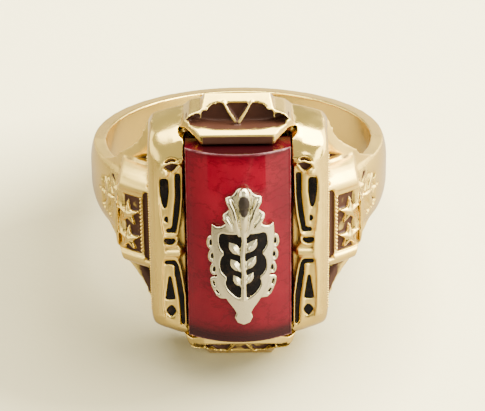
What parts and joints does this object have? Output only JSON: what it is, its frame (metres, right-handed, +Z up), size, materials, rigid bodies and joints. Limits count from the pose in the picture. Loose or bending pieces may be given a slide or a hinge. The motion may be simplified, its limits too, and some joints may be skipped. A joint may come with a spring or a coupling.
{
  "type": "signet ring with a rectangular stone",
  "caption": "Yellow gold ring with stepped shoulders, starred side panels and enamelled pillars holding a domed rectangular red stone under a small white-metal shield.",
  "frame": {"origin": "centre of the bottom of the bounding box, on the floor the ring lies on", "axes": "+Z up; the ring lies on its side, its head towards -Y and the back of its band towards +Y, and the finger hole's axis leans 21.7 degrees from +Z towards +Y; X runs across the head"},
  "size_m": [0.0212, 0.026, 0.0183],
  "materials": {
    "yellow_gold": "polished cast yellow gold, reddish brown tarnish in the recesses",
    "red_stone": "polished translucent red carnelian, domed top",
    "white_gold": "polished white gold, slightly creamy",
    "black_enamel": "fired black enamel, soft gloss"
  },
  "bodies": {
    "root": {"ring_body": "yellow_gold", "stone": "red_stone", "crest": "white_gold", "crest_enamel": "black_enamel", "slot_left": "black_enamel", "wedge_left": "black_enamel", "diamond_left": "black_enamel", "crescent_left": "black_enamel", "channel_left": "black_enamel", "arrow_left": "black_enamel", "lozenge_left": "black_enamel", "slot_right": "black_enamel", "wedge_right": "black_enamel", "diamond_right": "black_enamel", "crescent_right": "black_enamel", "channel_right": "black_enamel", "arrow_right": "black_enamel", "lozenge_right": "black_enamel"}
  },
  "joints": []
}
